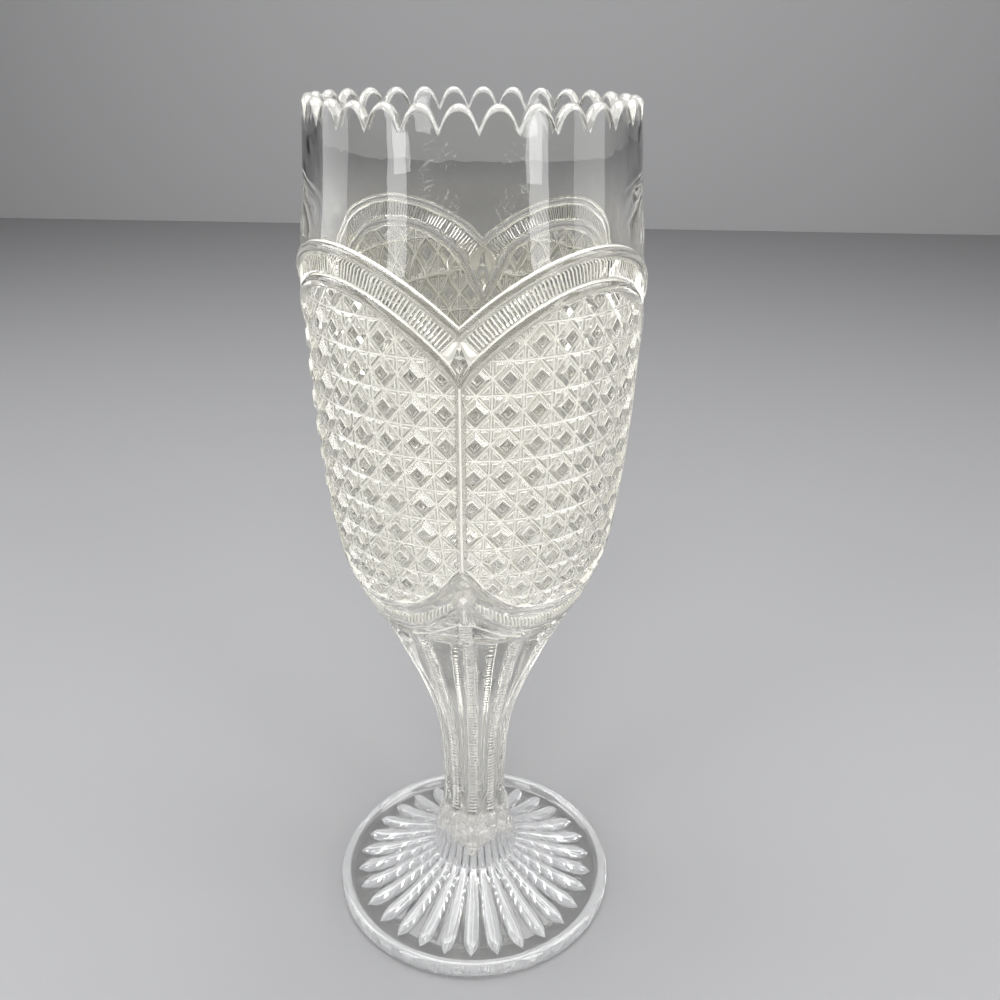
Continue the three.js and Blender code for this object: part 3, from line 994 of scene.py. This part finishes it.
def make_foot(materials):
    """Thirty finger-like rays that start together at the stem, part, and end in points,
    on a plain floor inside a rolled edge."""
    skin = Skin()
    gaps = 5
    radii = np.concatenate([[14.6, 15.2], np.arange(16.0, 36.0, 1.0), np.arange(36.0, 39.61, 0.3)])
    rows = []
    for r in radii:
        half = min(float(FINGER(r)) / r, TAU / RAYS * 0.49)
        gap = TAU / RAYS - 2 * half
        top = float(FINGER_TOP(r))
        low = max(FLOOR_Z, top - 2.4 * float(soft(r, 11.0, 19.0)) - 0.05)
        th, z = [], []
        for k in range(RAYS):
            c = RAY_PHASE + k * TAU / RAYS
            th.extend(c + FINGER_U * half)
            z.extend(low + (top - low) * dome(FINGER_U * 0.9999))
            q = np.arange(1, gaps) / gaps
            th.extend(c + half + gap * q)
            z.extend([low] * len(q))
        th, z = np.array(th), np.array(z)
        rows.append(ring(r, z, th))
    n = len(rows[0])
    even = np.arctan2(rows[-1][:, 0], -rows[-1][:, 1])
    for r, z in ((40.1, FLOOR_Z), (40.9, FLOOR_Z), (41.3, 3.55), (41.8, 4.2), (42.3, 4.8), (42.9, 5.25), (43.5, 5.42),
                 (44.1, 5.3), (44.7, 4.9), (45.15, 4.25), (45.42, 3.4), (45.5, 2.5), (45.42, 1.5), (45.1, 0.75),
                 (44.5, 0.2), (43.8, 0.0)):
        rows.append(ring(r, z, even))
    rows = rows[::-1]
    starts = [skin.add(r) for r in rows]
    per = len(FINGER_U) + gaps - 1
    tips = len(rows) - len(radii)
    for k in range(len(rows) - 1):
        for i in range(n):
            j = (i + 1) % n
            finger = k >= tips and i % per < len(FINGER_U) - 1
            ids = (starts[k] + i, starts[k] + j, starts[k + 1] + j, starts[k + 1] + i)
            # Painted sheen: the fingers get slot 2 and rows of the rolled edge get slot 3, both milky white; the
            # floor between stays clear.
            skin.face(ids, 2 if finger else 3 if 3 <= k < 11 else 0)
    su = skin.grid([ring(15, 0, even), ring(30, 0, even), rows[0]], 0)
    c0 = skin.add([(0, 0, 0)])
    for i in range(n):
        skin.face((c0, su[0] + (i + 1) % n, su[0] + i), 0)
    # joint with the stem, faced in the fingers' painted sheen
    stem_ring = base_row(FOOT_TOP)
    ss = skin.add(stem_ring)
    skin.stitch((starts[-1], rows[-1]), (ss, stem_ring), 2)
    c1 = skin.add([(0, 0, FOOT_TOP)])
    m = len(stem_ring)
    for i in range(m):
        skin.face((ss + i, ss + (i + 1) % m, c1), 1)
    return skin.build("foot_glass", materials, 40)


# ------------------------------------------------------------------ collar
SCALLOPS = 30


def make_collar(materials):
    skin = Skin()
    per = 16
    n = SCALLOPS * per
    th = np.arange(n) * TAU / n
    u = np.abs(np.mod(th / (TAU / SCALLOPS) + 0.5, 1.0) - 0.5) * 2     # 0 tip, 1 notch
    v = u - 0.045 * soft(u, 0.86, 1.0)
    lip = HEIGHT - (HEIGHT - VALLEY) * (0.64 * v ** 2 + 0.42 * v ** 4.2)
    rows = []
    w = half_width(222.0)
    top_outer = PLATEAU(222.0) - BASE_DROP
    for z in [222.0, 222.5] + list(np.arange(224.0, 242.0, 2.0)):
        rows.append(ring(COLLAR(z), z, th))
    for k in np.linspace(0, 1, 5):
        z = 242.0 + (lip - 1.5 - 242.0) * k
        rows.append(ring(COLLAR(z), z, th))
    mid_r = (COLLAR(lip) + INNER(lip)) / 2
    half = (COLLAR(lip) - INNER(lip)) / 2
    for a in np.linspace(0, math.pi, 13)[1:-1]:
        r = mid_r + half * math.cos(a) * (1 if abs(math.cos(a)) > 0.99 else 1)
        z = lip - 1.5 + 1.5 * math.sin(a)
        rows.append(ring(r, z, th))
    for k in np.linspace(1, 0, 5):
        z = 242.0 + (lip - 1.5 - 242.0) * k
        rows.append(ring(INNER(z), z, th))
    for z in list(np.arange(240.0, 223.0, -2.0)) + [222.5, 222.0]:
        rows.append(ring(INNER(z), z, th))
    starts = [skin.add(r) for r in rows]
    wall = 15                                                           # rows up to the rounded lip
    for k in range(len(rows) - 1):
        for i in range(n):
            j = (i + 1) % n
            # Painted sheen: the rounded lip's rows get the milky white slot 2; the walls stay clear.
            slot = 2 if wall <= k < wall + 12 else 0
            skin.face((starts[k] + i, starts[k] + j, starts[k + 1] + j, starts[k + 1] + i), slot)
    for i in range(n):
        j = (i + 1) % n
        skin.face((starts[-1] + i, starts[-1] + j, starts[0] + j, starts[0] + i), 1)
    return skin.build("rim_collar_glass", materials, 60)


# ------------------------------------------------------------------ materials
def glass_material(name, colour, roughness, transmission, grain):
    """Clear pressed glass with the faint unevenness that a mould leaves. A transmission below 1 mixes in a white
    diffuse share: painted sheen and painted highlight on what is clear glass.
    """
    m = bpy.data.materials.new(name)
    m.use_nodes = True
    nt = m.node_tree
    p = nt.nodes["Principled BSDF"]
    p.inputs["Base Color"].default_value = (*colour, 1)
    p.inputs["Metallic"].default_value = 0.0
    p.inputs["Roughness"].default_value = roughness
    p.inputs["IOR"].default_value = 1.5
    p.inputs["Transmission Weight"].default_value = transmission
    coord = nt.nodes.new("ShaderNodeTexCoord")
    waves = nt.nodes.new("ShaderNodeTexNoise")
    waves.inputs["Scale"].default_value = 55.0
    waves.inputs["Detail"].default_value = 2.0
    bump = nt.nodes.new("ShaderNodeBump")
    bump.inputs["Strength"].default_value = grain
    bump.inputs["Distance"].default_value = 0.0006
    nt.links.new(coord.outputs["Object"], waves.inputs["Vector"])
    nt.links.new(waves.outputs["Fac"], bump.inputs["Height"])
    nt.links.new(bump.outputs["Normal"], p.inputs["Normal"])
    return m


def joint_material():
    m = bpy.data.materials.new("fused_joint")
    m.use_nodes = True
    p = m.node_tree.nodes["Principled BSDF"]
    p.inputs["Base Color"].default_value = (1, 1, 1, 1)
    p.inputs["Roughness"].default_value = 0.0
    p.inputs["Alpha"].default_value = 0.0
    return m


def plain_material(name, colour, roughness=0.8):
    m = bpy.data.materials.new(name)
    m.use_nodes = True
    p = m.node_tree.nodes["Principled BSDF"]
    p.inputs["Base Color"].default_value = (*colour, 1)
    p.inputs["Roughness"].default_value = roughness
    return m


# ------------------------------------------------------------------ camera
cam_data = bpy.data.cameras.new("camera")
cam = bpy.data.objects.new("camera", cam_data)
bpy.context.scene.collection.objects.link(cam)
cam_data.lens = 36.18
cam_data.sensor_width = 36.0
cam_data.clip_start, cam_data.clip_end = 0.01, 20.0
PITCH, ROLL, TURN = math.radians(24.74), math.radians(0.55), math.radians(2.5)
spot = Vector((0.00786, -0.2636, 0.26255))
turn = Matrix.Rotation(TURN, 4, "Z")
level = Matrix.Rotation(math.radians(90) - PITCH, 4, "X")
cam.matrix_world = turn @ Matrix.Translation(spot) @ Matrix.Rotation(math.radians(0.07), 4, "Z") @ level @ Matrix.Rotation(ROLL, 4, "Z")
bpy.context.scene.camera = cam

# ------------------------------------------------------------------ the vase
glass = glass_material("pressed_glass", (0.995, 0.993, 0.98), 0.012, 1.0, 0.3)
warm = glass_material("pressed_glass_warm", (0.996, 0.988, 0.94), 0.012, 1.0, 0.3)
# Bowl materials: milky white painted highlight on grooves, edges and rungs, and a milder painted sheen on the facets.
bowl_painted_highlight = glass_material("mould_line_painted_highlight_glass", (1.0, 0.985, 0.915), 0.12, 0.42, 0.3)
facet = glass_material("facet_painted_sheen_glass", (1.0, 0.98, 0.9), 0.03, 0.78, 0.3)
# Stem materials: milky white painted highlight on the rib bars and beads, and painted sheen on the lappets.
stem_painted_highlight_line = glass_material("stem_line_glass", (1.0, 0.98, 0.92), 0.1, 0.66, 0.3)
stem_painted_sheen_facets = glass_material("stem_facet_glass", (1.0, 0.98, 0.93), 0.05, 0.74, 0.3)
# Foot materials: milky white painted sheen on the fingers, on the stem's rays and on the rolled edge.
foot_painted_sheen = glass_material("foot_facet_glass", (0.985, 0.992, 1.0), 0.06, 0.74, 0.12)
foot_edge_painted_sheen = glass_material("foot_edge_glass", (0.985, 0.992, 1.0), 0.05, 0.76, 0.2)
# Lip material: milky white painted sheen on the rounded lip.
lip_painted_sheen_glass = glass_material("lip_painted_sheen_glass", (1.0, 0.99, 0.945), 0.06, 0.76, 0.3)
joint = joint_material()
parts = {
    "bowl": make_bowl([warm, joint, bowl_painted_highlight, facet]),
    "stem": make_stem([warm, joint, stem_painted_highlight_line, stem_painted_sheen_facets, foot_painted_sheen]),
    "foot": make_foot([glass, joint, foot_painted_sheen, foot_edge_painted_sheen]),
    "rim_collar": make_collar([glass, joint, lip_painted_sheen_glass]),
}
for node, obj in parts.items():
    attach(obj, "root")
    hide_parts(node)

# ------------------------------------------------------------------ stage and light
def plane(name, corners, material):
    mesh = bpy.data.meshes.new(name)
    mesh.from_pydata(corners, [], [tuple(range(len(corners)))])
    mesh.materials.append(material)
    obj = bpy.data.objects.new(name, mesh)
    bpy.context.scene.collection.objects.link(obj)
    return obj


floor_m = plain_material("plain_floor", (0.24, 0.24, 0.245))
wall_m = plain_material("plain_backdrop", (0.34, 0.34, 0.345))
plane("floor", [(-4, -4, -0.0003), (4, -4, -0.0003), (4, 4, -0.0003), (-4, 4, -0.0003)], floor_m)
plane("backdrop", [(-4, 1.3, 0), (4, 1.3, 0), (4, 1.3, 1.8), (-4, 1.3, 1.8)], wall_m)


def area(name, loc, target, size, radiance, size_y=None, colour=(1, 1, 1)):
    """A soft box whose face has the given radiance."""
    data = bpy.data.lights.new(name, "AREA")
    size_y = size_y or size
    data.energy = radiance * math.pi * size * size_y
    data.color = colour
    data.shape = "RECTANGLE"
    data.size = size
    data.size_y = size_y
    obj = bpy.data.objects.new(name, data)
    bpy.context.scene.collection.objects.link(obj)
    obj.location = loc
    obj.rotation_mode = "QUATERNION"
    obj.rotation_quaternion = (Vector(target) - Vector(loc)).to_track_quat("-Z", "Y")
    obj.visible_camera = False
    return obj


area("softbox_top", (0.0, 0.05, 1.25), (0, 0, 0.1), 1.1, 6.2)
fill = area("softbox_front", (0.0, -1.15, 0.3), (0, 0, 0.1), 0.9, 1.4, size_y=0.4)
fill.visible_glossy = False
fill.visible_transmission = False
into = area("softbox_front_high", (0.0, -0.75, 0.85), (0, 0, 0.18), 0.5, 8.6)
into.visible_glossy = False
area("softbox_front_left", (-0.58, -0.6, 0.42), (0, 0, 0.2), 0.2, 5.5, size_y=0.7)
area("softbox_front_right", (0.6, -0.58, 0.42), (0, 0, 0.2), 0.2, 5.5, size_y=0.7)
for side in (area("softbox_left", (-0.95, 0.1, 0.5), (0, 0, 0.15), 0.5, 2.4, size_y=0.8),
             area("softbox_right", (0.95, -0.1, 0.5), (0, 0, 0.15), 0.5, 2.4, size_y=0.8)):
    side.visible_transmission = False
for side in (area("softbox_left_high", (-0.9, 0.1, 0.85), (0, 0, 0.15), 0.6, 4.6, size_y=0.7),
             area("softbox_right_high", (0.9, -0.1, 0.85), (0, 0, 0.15), 0.6, 4.6, size_y=0.7)):
    side.visible_diffuse = False

world = bpy.data.worlds.new("studio")
bpy.context.scene.world = world
world.use_nodes = True
bg = world.node_tree.nodes["Background"]
bg.inputs["Color"].default_value = (0.95, 0.97, 1.0, 1)
bg.inputs["Strength"].default_value = 0.12

scene = bpy.context.scene
scene.view_settings.view_transform = "Standard"
scene.cycles.max_bounces = 20
scene.cycles.transmission_bounces = 20
scene.cycles.glossy_bounces = 8
scene.cycles.diffuse_bounces = 2
scene.cycles.transparent_max_bounces = 24
scene.cycles.caustics_reflective = False
scene.cycles.caustics_refractive = True
scene.cycles.use_denoising = True
